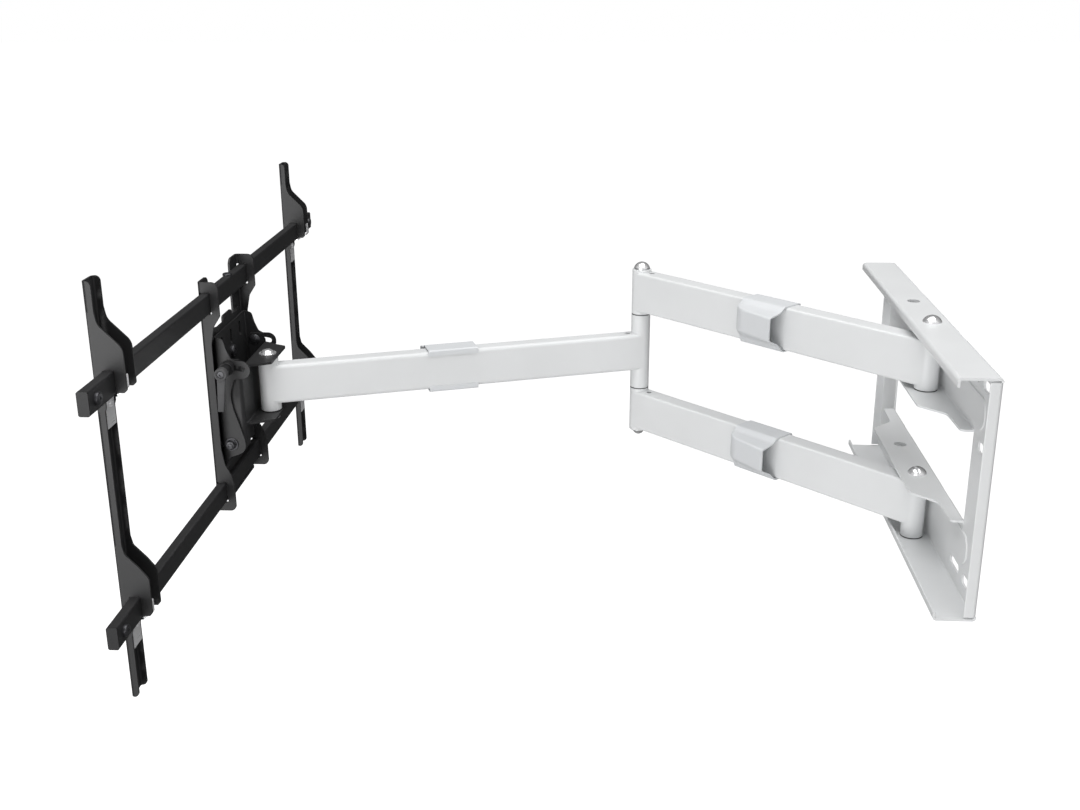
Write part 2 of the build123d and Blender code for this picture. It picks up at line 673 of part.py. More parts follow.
def stop_screw(z):
    at = (HEAD_X + STOP_X, z)
    face = RAIL_Y + RAIL_D
    screw = rod("y", at, STOP_HEAD_R, face, face + 4) + rod("y", at, 2, face - 4, face + 1)
    return fillet(screw.edges().sort_by(Axis.Y)[-1], 1.6)


def rail_lock_screw(x, head, shank, height):
    at = (HEAD_X + x, RAIL_Y + RAIL_D / 2)
    top = RAIL_UP + RAIL_H / 2
    return rod("z", at, head, top, top + height) + rod("z", at, shank, top - 5, top + 0.5)


def rail_clamp_plate():
    # Plate under the lower rail, turned up behind the rail.
    low = RAIL_DOWN - RAIL_H / 2
    return box(HEAD_X - 44, HEAD_X + 44, RAIL_Y + 0.5, RAIL_Y + RAIL_D, low - 4, low)


# Screen brackets, channels that hang on the rails.

def hooks():
    # Profile of both hooks in Y and Z, clear of the rails by the sliding gap.
    back = SCREEN_Y + CHANNEL_T
    lip = SCREEN_Y + CHANNEL_D
    front = RAIL_Y + RAIL_D
    edge = front + 11.3
    inner, outer = RAIL_Y - SLIDE, front + SLIDE
    top = RAIL_UP + RAIL_H / 2
    upper = [
        (back, 190), (lip, 190), (lip + 2, 178, 14), (edge - 0.4, 156, 14), (edge, 114.5, 3),
        (edge - 3, 111.5, 1), (outer, 111.5, 1), (outer, top, 1), (inner, top, 1), (inner, 96, 1), (lip, 92), (back, 92),
    ]
    top = RAIL_DOWN + RAIL_H / 2
    lower = [
        (back, -48), (lip, -48), (lip + 2, -58, 6), (edge - 9, -72, 20), (edge, -84, 8), (edge, -122, 3),
        (edge - 3, -125.5, 1), (outer, -125.5, 1), (outer, top, 1), (inner, top, 1), (inner, -142, 1), (lip, -146),
        (back, -146),
    ]
    return upper, lower


def screen_bracket():
    t, w, h = CHANNEL_T, CHANNEL_W / 2, CHANNEL_H / 2
    back, lip = SCREEN_Y, SCREEN_Y + CHANNEL_D
    plan = [
        (w, lip), (w, back, t + 2), (-w, back, t + 2), (-w, lip), (t - w, lip), (t - w, back + t, 2),
        (w - t, back + t, 2), (w - t, lip),
    ]
    ends = [(back, -h), (lip, -h, 5), (lip, h, 5), (back, h)]
    body = slab("z", plan, -h, h) & slab("x", ends, -w, w)
    for profile in hooks():
        body += slab("x", profile, w - t, w) + slab("x", profile, -w, t - w)
    for z in (-HOLE_Z, HOLE_Z):
        body -= rod("y", (0, z), 4.5, back - 1, back + t + 1)
    for z in (-170, -30, 10, 50, 170):
        body -= slot("y", 0, z, 28, 7, back - 1, back + t + 1, True)
    return Pos(HEAD_X + CHANNEL_X, 0, 0) * body


def locking_clip(z):
    # Folded plate below a rail that stops the hook from lifting off.
    low = z - RAIL_H / 2 - SLIDE
    half = CHANNEL_W / 2 - CHANNEL_T - 0.2
    face = RAIL_Y - 1.5
    middle = HEAD_X + CHANNEL_X
    leg = RAIL_Y + RAIL_D + 8.4
    bent = [
        (face, low - 36), (face - 2, low - 36), (face - 2, low, 2.5), (leg, low, 0.5), (leg, low + 16),
        (leg + 2, low + 16), (leg + 2, low - 2, 2.5), (face, low - 2, 0.5),
    ]
    spacer = box(middle - 5, middle + 5, SCREEN_Y + CHANNEL_T, face - 2, low - 18, low - 6)
    clip = slab("x", bent, middle - half, middle + half) + spacer
    return clip - rod("y", (middle, low - 12), 2.5 + FIT, SCREEN_Y, face + 1)


def locking_screw(z):
    low = z - RAIL_H / 2 - SLIDE
    at = (HEAD_X + CHANNEL_X, low - 12)
    face = RAIL_Y - 1.5
    return rod("y", at, 3.8, face, face + 2.6) + rod("y", at, 2.5, SCREEN_Y + CHANNEL_T, face + 1)


# Wall side.
save("wall_plate", wall_plate())
save("wall_bolt_upper", wall_bolt(HALF_H, TAB - PLATE_T - 7.5))
save("wall_bolt_lower", wall_bolt(-WINDOW_H / 2, -HALF_H - 7.5))
save("wall_nut_upper", wall_nut(TAB - PLATE_T, 7))
save("wall_nut_lower", wall_nut(-HALF_H, 7))

# Rear arms and elbow.
upper_arm = rear_arm()
save("rear_arm_upper", upper_arm)
save("rear_arm_lower", flipped(upper_arm))
pivot = (PIVOT_X, PIVOT_Y)
upper_bushes = [bush(pivot, TAB, 1), bush(pivot, UNDER, -1)]
save("wall_bushes", *upper_bushes, *[flipped(b) for b in upper_bushes])
elbow = (ELBOW_X, ELBOW_Y)
save("elbow_bolt", rod("z", elbow, BOLT_R, -ELBOW_Z - 5, ELBOW_Z + 5.5))
save("elbow_cap", cap_nut(elbow, ELBOW_Z + 1.5, 8, 10.2, 1))
save("elbow_dome_nut", cap_nut(elbow, -ELBOW_Z - 1.5, 6.8, 7.6, -1))
save("elbow_washers", elbow_washer(1), elbow_washer(-1))
save("cable_clip_upper", rear_clip(REAR_Z))
save("cable_clip_lower", rear_clip(-REAR_Z))

# Front arm.
save("front_arm", front_arm())
save("elbow_bushes", bush(elbow, MID_Z, -1), bush(elbow, -MID_Z, 1))
head = (HEAD_X, HEAD_Y)
save("head_bushes", bush(head, HEAD_Z, -1), bush(head, -HEAD_Z, 1))
save("cable_clip_front", front_clip())

# Head.
save("yoke", yoke())
save("head_bolt", head_bolt())
save("head_nut", head_nut())
save("tilt_pivot_bolts", *both(tilt_pivot_bolt()))
save("tilt_pivot_nuts", *both(tilt_pivot_nut()))
pivot_washer = friction_washer((PIN_Y, TILT_Z), 7.8, TILT_BOLT_R + FIT)
stud_washer = friction_washer((STUD_Y, STUD_Z), 5.5, STUD_R + FIT)
save("friction_washers", *both(pivot_washer), *both(stud_washer))
save("clamp_bolt_near", clamp_bolt(CENTRE_H + 13.5))
save("clamp_bolt_far", mirrored(clamp_bolt(TILT_OUT + 9), HEAD_X))
save("clamp_boss", clamp_boss())
save("lock_nut", lock_nut())
save("clamp_lever", clamp_lever())
save("lever_screw", lever_screw())

# Screen frame.
save("tilt_bracket", tilt_bracket())
save("levelling_plate", levelling_plate())
save("levelling_bolt", levelling_bolt())
frame_holes = [(x, z) for x in (-FRAME_HOLE_X, FRAME_HOLE_X) for z in (FRAME_HOLE_DOWN, FRAME_HOLE_UP)]
save("frame_screws", *[frame_screw(x, z) for x, z in frame_holes])
near_bracket = centre_bracket()
save("centre_bracket_near", near_bracket)
save("centre_bracket_far", mirrored(near_bracket, HEAD_X))
save("rail_upper", rail_lock_holes(rail(RAIL_UP)))
save("rail_lower", rail(RAIL_DOWN))
caps = [rail_cap(z) for z in (RAIL_UP, RAIL_DOWN)]
save("rail_end_caps", *[c for cap in caps for c in both(cap)])
stops = [stop_screw(z) for z in (RAIL_UP, RAIL_DOWN)]
save("stop_screws", *[s for stop in stops for s in both(stop)])
save("rail_lock_screws", rail_lock_screw(-15, 6, 3, 3), rail_lock_screw(36, 3.2, 2, 1.8))
save("rail_clamp_plate", rail_clamp_plate())

# Screen brackets.
near_channel = screen_bracket()
save("screen_bracket_near", near_channel)
save("screen_bracket_far", mirrored(near_channel, HEAD_X))
clips = [locking_clip(z) for z in (RAIL_UP, RAIL_DOWN)]
save("locking_clips_near", *clips)
save("locking_clips_far", *[mirrored(c, HEAD_X) for c in clips])
screws = [locking_screw(z) for z in (RAIL_UP, RAIL_DOWN)]
save("locking_screws_near", *screws)
save("locking_screws_far", *[mirrored(s, HEAD_X) for s in screws])
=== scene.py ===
import math

import bmesh
import bpy
from mathutils import Matrix, Vector


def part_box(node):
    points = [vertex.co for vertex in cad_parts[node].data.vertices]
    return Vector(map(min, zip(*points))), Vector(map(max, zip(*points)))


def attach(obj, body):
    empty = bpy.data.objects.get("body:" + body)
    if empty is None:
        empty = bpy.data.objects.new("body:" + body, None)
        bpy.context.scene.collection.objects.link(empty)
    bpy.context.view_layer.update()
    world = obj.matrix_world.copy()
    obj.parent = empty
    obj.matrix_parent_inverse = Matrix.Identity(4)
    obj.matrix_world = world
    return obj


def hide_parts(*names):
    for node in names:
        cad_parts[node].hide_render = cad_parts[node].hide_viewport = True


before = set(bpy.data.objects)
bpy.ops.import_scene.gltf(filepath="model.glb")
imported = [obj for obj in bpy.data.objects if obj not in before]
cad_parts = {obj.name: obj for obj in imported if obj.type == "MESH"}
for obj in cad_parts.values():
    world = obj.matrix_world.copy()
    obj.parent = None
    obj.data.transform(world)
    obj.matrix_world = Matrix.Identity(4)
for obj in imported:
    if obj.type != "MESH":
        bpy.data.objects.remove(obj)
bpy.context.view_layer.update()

# Wall plate: one sheet of 2.5 mm steel, cut with its window and slots, folded on all four
# sides with two tabs bent out of the window, then powder coated white. Screwed to the wall.


def powder_grain():
    # Orange peel and a faint mottling, as powder coat has.
    group = bpy.data.node_groups.new("Powder grain", "ShaderNodeTree")
    face = group.interface
    face.new_socket("Color", in_out="INPUT", socket_type="NodeSocketColor")
    face.new_socket("Mottle", in_out="INPUT", socket_type="NodeSocketFloat")
    face.new_socket("Gloss", in_out="INPUT", socket_type="NodeSocketFloat")
    face.new_socket("Color", in_out="OUTPUT", socket_type="NodeSocketColor")
    face.new_socket("Roughness", in_out="OUTPUT", socket_type="NodeSocketFloat")
    face.new_socket("Height", in_out="OUTPUT", socket_type="NodeSocketFloat")
    nodes, link = group.nodes, group.links.new
    given = nodes.new("NodeGroupInput")
    made = nodes.new("NodeGroupOutput")
    where = nodes.new("ShaderNodeTexCoord")
    peel = nodes.new("ShaderNodeTexNoise")
    peel.inputs["Scale"].default_value = 900
    peel.inputs["Detail"].default_value = 2
    cloud = nodes.new("ShaderNodeTexNoise")
    cloud.inputs["Scale"].default_value = 14
    cloud.inputs["Detail"].default_value = 3
    for noise in (peel, cloud):
        link(where.outputs["Object"], noise.inputs["Vector"])
    shade = nodes.new("ShaderNodeMapRange")
    shade.inputs["From Min"].default_value = 0.3
    shade.inputs["From Max"].default_value = 0.7
    shade.inputs["To Max"].default_value = 1
    link(cloud.outputs["Fac"], shade.inputs["Value"])
    low = nodes.new("ShaderNodeMath")
    low.operation = "SUBTRACT"
    low.inputs[0].default_value = 1
    link(given.outputs["Mottle"], low.inputs[1])
    link(low.outputs[0], shade.inputs["To Min"])
    tone = nodes.new("ShaderNodeVectorMath")
    tone.operation = "SCALE"
    link(given.outputs["Color"], tone.inputs[0])
    link(shade.outputs["Result"], tone.inputs["Scale"])
    link(tone.outputs["Vector"], made.inputs["Color"])
    rough = nodes.new("ShaderNodeMath")
    rough.operation = "MULTIPLY_ADD"
    rough.inputs[1].default_value = 0.12
    link(cloud.outputs["Fac"], rough.inputs[0])
    link(given.outputs["Gloss"], rough.inputs[2])
    link(rough.outputs[0], made.inputs["Roughness"])
    link(peel.outputs["Fac"], made.inputs["Height"])
    return group


def settled_dust():
    # A thin grey film on faces that look up, broken by noise.
    group = bpy.data.node_groups.new("Settled dust", "ShaderNodeTree")
    face = group.interface
    face.new_socket("Color", in_out="INPUT", socket_type="NodeSocketColor")
    face.new_socket("Dust", in_out="INPUT", socket_type="NodeSocketColor")
    face.new_socket("Amount", in_out="INPUT", socket_type="NodeSocketFloat")
    face.new_socket("Color", in_out="OUTPUT", socket_type="NodeSocketColor")
    nodes, link = group.nodes, group.links.new
    given = nodes.new("NodeGroupInput")
    made = nodes.new("NodeGroupOutput")
    where = nodes.new("ShaderNodeTexCoord")
    split = nodes.new("ShaderNodeSeparateXYZ")
    link(where.outputs["Normal"], split.inputs[0])
    up = nodes.new("ShaderNodeMapRange")
    up.inputs["From Min"].default_value = 0.5
    up.inputs["From Max"].default_value = 0.95
    link(split.outputs["Z"], up.inputs["Value"])
    specks = nodes.new("ShaderNodeTexNoise")
    specks.inputs["Scale"].default_value = 160
    specks.inputs["Detail"].default_value = 5
    link(where.outputs["Object"], specks.inputs["Vector"])
    film = nodes.new("ShaderNodeMath")
    film.operation = "MULTIPLY"
    link(up.outputs["Result"], film.inputs[0])
    link(specks.outputs["Fac"], film.inputs[1])
    share = nodes.new("ShaderNodeMath")
    share.operation = "MULTIPLY"
    link(film.outputs[0], share.inputs[0])
    link(given.outputs["Amount"], share.inputs[1])
    mix = nodes.new("ShaderNodeMix")
    mix.data_type = "RGBA"
    link(share.outputs[0], mix.inputs["Factor"])
    link(given.outputs["Color"], mix.inputs[6])
    link(given.outputs["Dust"], mix.inputs[7])
    link(mix.outputs[2], made.inputs["Color"])
    return group


grain = powder_grain()
dust = settled_dust()


def coated(name, colour, gloss, mottle, film, shine=0.4, peel=0.00002):
    # Powder coated steel or moulded plastic of one colour.
    material = bpy.data.materials.new(name)
    material.use_nodes = True
    nodes, link = material.node_tree.nodes, material.node_tree.links.new
    shader = nodes["Principled BSDF"]
    shader.inputs["Specular IOR Level"].default_value = shine
    coat = nodes.new("ShaderNodeGroup")
    coat.node_tree = grain
    coat.inputs["Color"].default_value = (*colour, 1)
    coat.inputs["Mottle"].default_value = mottle
    coat.inputs["Gloss"].default_value = gloss
    top = nodes.new("ShaderNodeGroup")
    top.node_tree = dust
    top.inputs["Dust"].default_value = (0.42, 0.41, 0.39, 1)
    top.inputs["Amount"].default_value = film
    link(coat.outputs["Color"], top.inputs["Color"])
    link(top.outputs["Color"], shader.inputs["Base Color"])
    link(coat.outputs["Roughness"], shader.inputs["Roughness"])
    bump = nodes.new("ShaderNodeBump")
    bump.inputs["Strength"].default_value = 0.35
    bump.inputs["Distance"].default_value = peel
    link(coat.outputs["Height"], bump.inputs["Height"])
    link(bump.outputs["Normal"], shader.inputs["Normal"])
    return material


EDGE_TURN = 32


def finish_node(name, material, edge=0.0004):
    # A carried piece keeps its shape and gets softened edges and its finish.
    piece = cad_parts[name]
    piece.data.materials.clear()
    piece.data.materials.append(material)
    for polygon in piece.data.polygons:
        polygon.use_smooth = True
        polygon.material_index = 0
    weld = piece.modifiers.new("Weld", "WELD")
    weld.merge_threshold = 0.00001
    flat = piece.modifiers.new("Flat", "DECIMATE")
    flat.decimate_type = "DISSOLVE"
    flat.angle_limit = math.radians(0.5)
    edges = piece.modifiers.new("Edges", "BEVEL")
    edges.width = edge
    edges.segments = 2
    edges.limit_method = "ANGLE"
    edges.angle_limit = math.radians(EDGE_TURN)
    smooth = piece.modifiers.new("Smooth", "WEIGHTED_NORMAL")
    smooth.weight = 100
    smooth.keep_sharp = True
    return piece


white_coat = coated("White powder coat", (0.74, 0.75, 0.755), 0.34, 0.03, 0.0)
finish_node("wall_plate", white_coat, 0.0005)

# Wall pivot bolts: chromed domed heads on the plate, shanks through both sleeves, and zinc
# plated nuts with a collar on the far side of each pair of plates.


def plated(name, colour, rough, metallic=1.0, streak=60):
    # Plated steel with faint drawn streaks and handling marks.
    material = bpy.data.materials.new(name)
    material.use_nodes = True
    nodes, link = material.node_tree.nodes, material.node_tree.links.new
    shader = nodes["Principled BSDF"]
    shader.inputs["Metallic"].default_value = metallic
    where = nodes.new("ShaderNodeTexCoord")
    stretch = nodes.new("ShaderNodeMapping")
    stretch.inputs["Scale"].default_value = (streak, streak, 9 * streak)
    link(where.outputs["Object"], stretch.inputs["Vector"])
    marks = nodes.new("ShaderNodeTexNoise")
    marks.inputs["Scale"].default_value = 1
    marks.inputs["Detail"].default_value = 4
    link(stretch.outputs["Vector"], marks.inputs["Vector"])
    tone = nodes.new("ShaderNodeMapRange")
    tone.inputs["To Min"].default_value = 0.88
    tone.inputs["To Max"].default_value = 1.08
    link(marks.outputs["Fac"], tone.inputs["Value"])
    scale = nodes.new("ShaderNodeVectorMath")
    scale.operation = "SCALE"
    scale.inputs[0].default_value = colour
    link(tone.outputs["Result"], scale.inputs["Scale"])
    link(scale.outputs["Vector"], shader.inputs["Base Color"])
    polish = nodes.new("ShaderNodeMapRange")
    polish.inputs["To Min"].default_value = rough * 0.6
    polish.inputs["To Max"].default_value = rough * 1.5
    link(marks.outputs["Fac"], polish.inputs["Value"])
    link(polish.outputs["Result"], shader.inputs["Roughness"])
    return material


def turned(profile, steps=72):
    # Turned form about +Z from (radius, height) points.
    mesh = bmesh.new()
    corners = [mesh.verts.new((radius, 0, height)) for radius, height in profile]
    edges = [mesh.edges.new(pair) for pair in zip(corners, corners[1:])]
    bmesh.ops.spin(
        mesh, geom=corners + edges, cent=(0, 0, 0), axis=(0, 0, 1), angle=math.tau, steps=steps,
        use_merge=True,
    )
    bmesh.ops.remove_doubles(mesh, verts=mesh.verts, dist=1e-6)
    bmesh.ops.dissolve_degenerate(mesh, edges=mesh.edges, dist=1e-7)
    bmesh.ops.recalc_face_normals(mesh, faces=mesh.faces)
    return mesh


def dome_line(radius, height, rim):
    # Points of a domed head from its top down to the foot of its rim.
    rise = height - rim
    ball = (rise ** 2 + radius ** 2) / (2 * rise)
    reach = math.asin(radius / ball)
    steps = 14
    turns = [reach * k / steps for k in range(steps + 1)]
    return [(ball * math.sin(t), height - ball + ball * math.cos(t)) for t in turns] + [(radius, 0)]


def six_sided(mesh, across):
    # Flats cut on a turned blank, so that its chamfers end in arcs.
    for k in range(6):
        flat = Vector((math.cos(k * math.tau / 6), math.sin(k * math.tau / 6), 0))
        everything = mesh.verts[:] + mesh.edges[:] + mesh.faces[:]
        cut = bmesh.ops.bisect_plane(
            mesh, geom=everything, dist=1e-7, plane_co=flat * across / 2, plane_no=flat, clear_outer=True
        )
        rim = [part for part in cut["geom_cut"] if isinstance(part, bmesh.types.BMEdge)]
        bmesh.ops.contextual_create(mesh, geom=rim)
    return mesh


def hex_blank(across, low, high, bore=0.0):
    # Closed profile of a nut or bolt head with 30 degree chamfers.
    corner = across / math.sqrt(3)
    face = across * 0.47
    drop = (corner - face) * math.tan(math.radians(30))
    outside = [(face, high), (corner, high - drop), (corner, low + drop), (face, low)]
    if not bore:
        return [(0, high)] + outside + [(0, low)]
    ease = 0.0003
    mouth = [(bore, low + ease), (bore, high - ease), (bore + ease, high)]
    return mouth + outside + [(bore + ease, low), (bore, low + ease)]


def hexagon(across, low, high, bore=0.0):
    # Nut or bolt head between two heights.
    return six_sided(turned(hex_blank(across, low, high, bore)), across)


def placed(mesh, at, axis=(0, 0, 1)):
    # Moves a form from the origin to its place, its height along the axis.
    turn = Vector((0, 0, 1)).rotation_difference(Vector(axis)).to_matrix().to_4x4()
    bmesh.ops.transform(mesh, matrix=Matrix.Translation(at) @ turn, verts=mesh.verts)
    return mesh


def piece(name, parts, material, body, slot, *nodes):
    # One object from finished forms, which stands for the named solids.
    data = bpy.data.meshes.new(name)
    whole = bmesh.new()
    for part in parts:
        part.to_mesh(data)
        part.free()
        whole.from_mesh(data)
    for edge in whole.edges:
        edge.smooth = edge.calc_face_angle(4) < math.radians(35)
    for face in whole.faces:
        face.smooth = True
    whole.to_mesh(data)
    whole.free()
    data.materials.append(material)
    made = bpy.data.objects.new(name, data)
    bpy.context.scene.collection.objects.link(made)
    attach(made, body)
    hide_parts(*nodes)
    return made


chrome = plated("Chrome plate", (0.88, 0.88, 0.89), 0.14, 0.7)
zinc = plated("Zinc plate", (0.62, 0.63, 0.64), 0.34)
PLATE_T = 0.0025
COLLAR_R = 0.00725
BOLT_R = 0.006
DOME_R, DOME_H, DOME_RIM = 0.0104, 0.0076, 0.0012
NUT_ACROSS = 0.0185


def middle(node):
    # The middle of a piece's box, and the box's two ends.
    low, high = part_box(node)
    return (low + high) / 2, low, high


def shank(radius, length):
    # Line of a plain shank below height zero with a chamfered end.
    chamfer = 0.001
    return [(radius, -length + chamfer), (radius - chamfer, -length), (0, -length)]


for level in ("upper", "lower"):
    centre, low, high = middle("wall_bolt_" + level)
    seat = high.z - DOME_H
    line = dome_line(DOME_R, DOME_H, DOME_RIM)
    line += [(COLLAR_R, 0), (COLLAR_R, -PLATE_T), (BOLT_R, -PLATE_T)]
    bolt = turned(line + shank(BOLT_R, seat - low.z))
    bolt = placed(bolt, (centre.x, centre.y, seat))
    piece("wall_bolt_dressed_" + level, [bolt], chrome, "wall", "chrome", "wall_bolt_" + level)
    centre, low, high = middle("wall_nut_" + level)
    seat = high.z - PLATE_T
    nut = hexagon(NUT_ACROSS, low.z - seat, 0, BOLT_R)
    collar = turned([(BOLT_R, 0), (BOLT_R, PLATE_T), (COLLAR_R, PLATE_T), (COLLAR_R, -0.0004)])
    forms = [placed(form, (centre.x, centre.y, seat)) for form in (nut, collar)]
    piece("wall_nut_dressed_" + level, forms, zinc, "wall", "zinc", "wall_nut_" + level)

# Rear arms: steel box tube with a round sleeve welded at each end, powder coated white like
# the plate. They turn together about the wall bolts.

SLEEVE_R, BORE = 0.0126, 0.0081
COPE_R = SLEEVE_R - 0.0005
TUBE_W, TUBE_T = 0.0252, 0.002
REAR_TALL, REAR_CORNER = 0.0528, 0.003
REAR_Z = 0.0826
WALL_SLEEVE = 0.052, 0.124
ELBOW_SLEEVE = 0.0519, 0.1123
DRAIN_AT, DRAIN_R = 0.0185, 0.0036


def axis(node):
    # The foot of a piece's upright centre line.
    at = middle(node)[0]
    return Vector((at.x, at.y, 0))


def carved(blank, cutter):
    # The blank less the cutter's form.
    holders = []
    for form in (blank, cutter):
        data = bpy.data.meshes.new("carving")
        form.to_mesh(data)
        form.free()
        holder = bpy.data.objects.new("carving", data)
        bpy.context.scene.collection.objects.link(holder)
        holders.append(holder)
    cut = holders[0].modifiers.new("Cut", "BOOLEAN")
    cut.operation = "DIFFERENCE"
    cut.solver = "EXACT"
    cut.use_self = True
    cut.object = holders[1]
    ready = bpy.context.evaluated_depsgraph_get()
    mesh = bmesh.new()
    mesh.from_mesh(bpy.data.meshes.new_from_object(holders[0].evaluated_get(ready)))
    for holder in holders:
        bpy.data.objects.remove(holder)
    return mesh


def box_tube(elbow, far, height, tall, corner):
    # Tube between two axes, coped to both sleeves, with a drain hole in its top by the elbow.
    run = far - elbow
    forms = []
    for less in (0, TUBE_T):
        form = bmesh.new()
        size = Matrix.Diagonal((run.length + less, TUBE_W - 2 * less, tall - 2 * less, 1))
        bmesh.ops.create_cube(form, size=1, matrix=Matrix.Translation((run.length / 2, 0, 0)) @ size)
        long = [edge for edge in form.edges if edge.calc_length() > run.length / 2]
        bmesh.ops.bevel(form, geom=long, offset=corner - less, segments=5, profile=0.5, affect="EDGES")
        forms.append(form)
    tools = bmesh.new()
    for x, radius, z in ((0, COPE_R, 0), (run.length, COPE_R, 0), (DRAIN_AT, DRAIN_R, tall)):
        bmesh.ops.create_cone(
            tools, cap_ends=True, segments=48, radius1=radius, radius2=radius, depth=1.2 * tall,
            matrix=Matrix.Translation((x, 0, z)),
        )
    tube = carved(carved(*forms), tools)
    spot = Matrix.Translation(elbow + Vector((0, 0, height)))
    turn = Matrix.Rotation(math.atan2(run.y, run.x), 4, "Z")
    bmesh.ops.transform(tube, matrix=spot @ turn, verts=tube.verts)
    return tube


def sleeve(at, low, high, bore):
    # Round sleeve with eased rims.
    ease = 0.0004
    line = [(bore, low), (bore, high), (SLEEVE_R - ease, high), (SLEEVE_R, high - ease)]
    line += [(SLEEVE_R, low + ease), (SLEEVE_R - ease, low), (bore, low)]
    return placed(turned(line), at)


def even(made):
    # Keeps wide flat faces flat beside their rounded edges.
    made.modifiers.new("Even", "WEIGHTED_NORMAL").keep_sharp = True


wall_axis, elbow_axis, head_axis = axis("wall_bolt_upper"), axis("elbow_bolt"), axis("head_bolt")
for level, side in (("upper", 1), ("lower", -1)):
    forms = [box_tube(elbow_axis, wall_axis, side * REAR_Z, REAR_TALL, REAR_CORNER)]
    for at, ends, bore in ((wall_axis, WALL_SLEEVE, BORE), (elbow_axis, ELBOW_SLEEVE, BOLT_R)):
        low, high = sorted(side * end for end in ends)
        forms.append(sleeve(at, low, high, bore))
    name = "rear_arm_" + level
    even(piece("dressed_" + name, forms, white_coat, "rear_arms", "white_paint", name))

# Bushes: flanged rings of black acetal, pressed into the sleeves so that the faces between
# the pieces don't rub.

black_plastic = coated("Black plastic", (0.013, 0.013, 0.014), 0.42, 0.15, 0.03)
for name in ("wall_bushes", "elbow_bushes", "head_bushes"):
    finish_node(name, black_plastic, 0.0001)

# Elbow bolt: one long zinc plated bolt through both rear arms and the front arm, closed by
# chromed cap nuts on washers.

finish_node("elbow_bolt", zinc, 0.0001)
finish_node("elbow_washers", zinc, 0.0002)
CAP_R, CAP_H = 0.0102, 0.008
DOME_NUT_R, DOME_NUT_H = 0.0076, 0.0068
for name, radius, height, side in (
    ("elbow_cap", CAP_R, CAP_H, 1), ("elbow_dome_nut", DOME_NUT_R, DOME_NUT_H, -1),
):
    centre, low, high = middle(name)
    seat = low.z if side > 0 else high.z
    cap = turned(dome_line(radius, height, DOME_RIM) + [(0, 0)])
    cap = placed(cap, (centre.x, centre.y, seat), (0, 0, side))
    piece(name + "_dressed", [cap], chrome, "rear_arms", "chrome", name)

# Front arm: a box tube with a long sleeve at the elbow and a short one at the head. It is a
# little lower and rounder than the rear tubes, so that the tilt bracket clears it when turned.

FRONT_TALL, FRONT_CORNER = 0.05, 0.005
LONG_SLEEVE, SHORT_SLEEVE = 0.0509, 0.0342
forms = [box_tube(elbow_axis, head_axis, 0, FRONT_TALL, FRONT_CORNER)]
for at, half in ((elbow_axis, LONG_SLEEVE), (head_axis, SHORT_SLEEVE)):
    forms.append(sleeve(at, -half, half, BORE))
even(piece("dressed_front_arm", forms, white_coat, "front_arm", "white_paint", "front_arm"))

# Cable clips: white plastic strips, snapped round the tubes, with a hood at one side that
# holds the cables and narrows toward one end.

white_plastic = coated("White plastic", (0.67, 0.685, 0.70), 0.42, 0.02, 0.0)
CLIP_T = 0.0016
CLIP_ENDS = -0.035, 0.0295
HOOD_FOOT, HOOD_OUT = 0.003, 0.031
HOOD_TAPER, HOOD_CURVE, CURVE_RUN = 0.187, 24, 0.016
REAR_SHARE, FRONT_SHARE = 0.506, 0.477
ALONG_X = Matrix(((0, 0, 1, 0), (1, 0, 0, 0), (0, 1, 0, 0), (0, 0, 0, 1)))


def prism(corners, ends, ease, less=0.0, turn=Matrix.Identity(4)):
    # Straight form of an outline with eased corners, drawn in by a wall's thickness.
    mesh = bmesh.new()
    mesh.faces.new([mesh.verts.new((u, v, ends[0])) for u, v in corners])
    bmesh.ops.bevel(mesh, geom=mesh.verts[:], offset=ease, segments=5, profile=0.5, affect="VERTICES")
    if less:
        rim = bmesh.ops.inset_region(
            mesh, faces=mesh.faces[:], thickness=less, use_even_offset=True, use_boundary=True
        )
        bmesh.ops.delete(mesh, geom=rim["faces"], context="FACES")
    grown = bmesh.ops.extrude_face_region(mesh, geom=mesh.faces[:])["geom"]
    ring = [part for part in grown if isinstance(part, bmesh.types.BMVert)]
    bmesh.ops.translate(mesh, verts=ring, vec=(0, 0, ends[1] - ends[0]))
    bmesh.ops.recalc_face_normals(mesh, faces=mesh.faces)
    bmesh.ops.transform(mesh, matrix=turn, verts=mesh.verts)
    return mesh


def clip_hood(less):
    # Outside or inside of the clip along X. Its hood narrows toward the far end, in a curve.
    w, h, t = TUBE_W / 2, REAR_TALL / 2, CLIP_T
    foot, out = w + HOOD_FOOT, w + HOOD_OUT
    section = [
        (-w - t, -h - t), (foot, -h - t), (w + 0.0135, 0.0082 - h), (out, 0.0168 - h),
        (out, h - 0.0071), (w + 0.0115, h - 0.004), (foot, h + t), (-w - t, h + t),
    ]
    a, b = CLIP_ENDS
    hood = prism(section, (a - less, b + less), 0.0025, less, ALONG_X)
    for station in range(6):
        ring = (b - 0.018 + 0.003 * station, 0, 0)
        everything = hood.verts[:] + hood.edges[:] + hood.faces[:]
        bmesh.ops.bisect_plane(hood, geom=everything, dist=1e-7, plane_co=ring, plane_no=(1, 0, 0))
    for corner in hood.verts:
        x, y = corner.co.x, corner.co.y
        if y > foot:
            curve = HOOD_CURVE * max(0, x - b + CURVE_RUN) ** 2
            reach = out - 1.1 * less - HOOD_TAPER * (x - a) - curve
            corner.co.y = foot + (y - foot) * (reach - foot) / (out - less - foot)
    return hood


def clip_place(start, toward):
    # The clip's middle and direction on a tube.
    turn = Matrix.Rotation(math.atan2(toward.y, toward.x), 4, "Z")
    return Matrix.Translation(start + toward) @ turn


